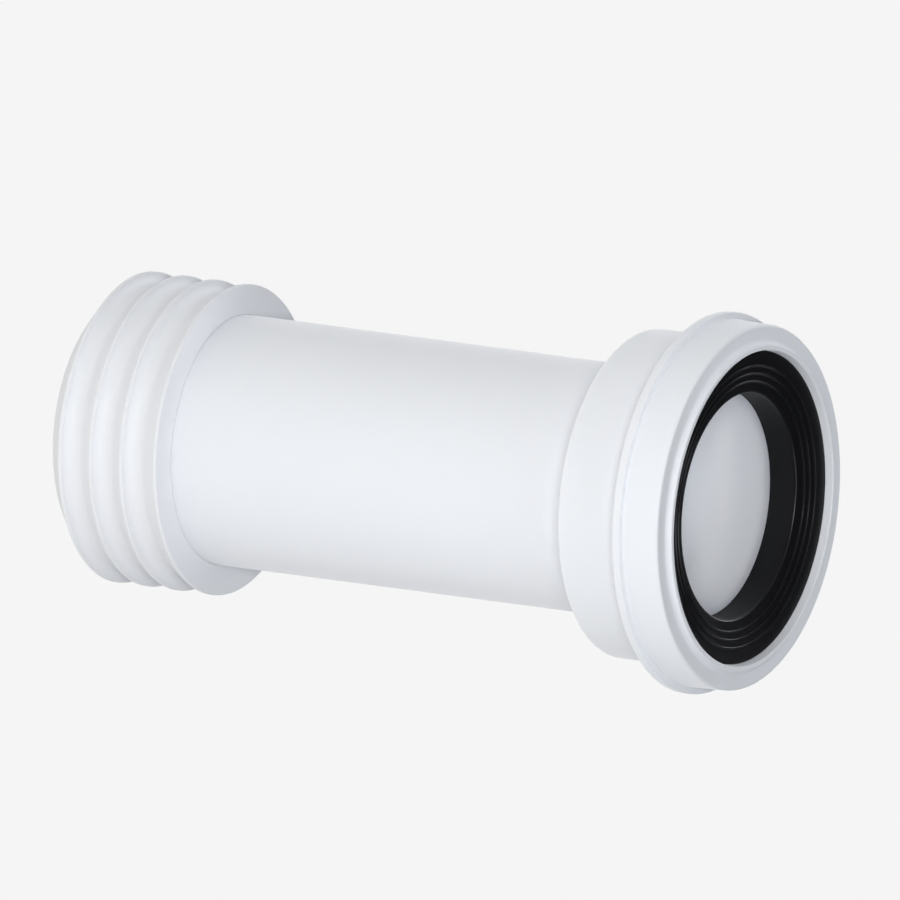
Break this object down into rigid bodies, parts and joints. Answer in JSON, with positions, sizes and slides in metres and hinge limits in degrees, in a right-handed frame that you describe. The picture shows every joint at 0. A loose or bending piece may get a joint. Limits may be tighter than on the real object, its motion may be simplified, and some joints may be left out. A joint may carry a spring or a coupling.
{
  "type": "toilet pan connector",
  "caption": "Straight white toilet pan connector: a pipe with a soft finned spigot for the soil pipe and a capped socket with a black rubber seal for the pan's outlet.",
  "frame": {"origin": "centre of the ring at the spigot's end that the part stands on", "axes": "+Z along the pipe, from the finned spigot to the socket's mouth"},
  "size_m": [0.1474, 0.1474, 0.2812],
  "materials": {
    "moulded_white": "satin moulded polypropylene",
    "cap_white": "satin moulded polypropylene",
    "seal_rubber": "matt moulded rubber",
    "fin_white": "satin soft white elastomer"
  },
  "bodies": {
    "root": {"connector_body": "moulded_white", "retaining_cap": "cap_white", "inlet_seal": "seal_rubber", "outlet_fin_seal": "fin_white"}
  },
  "joints": []
}
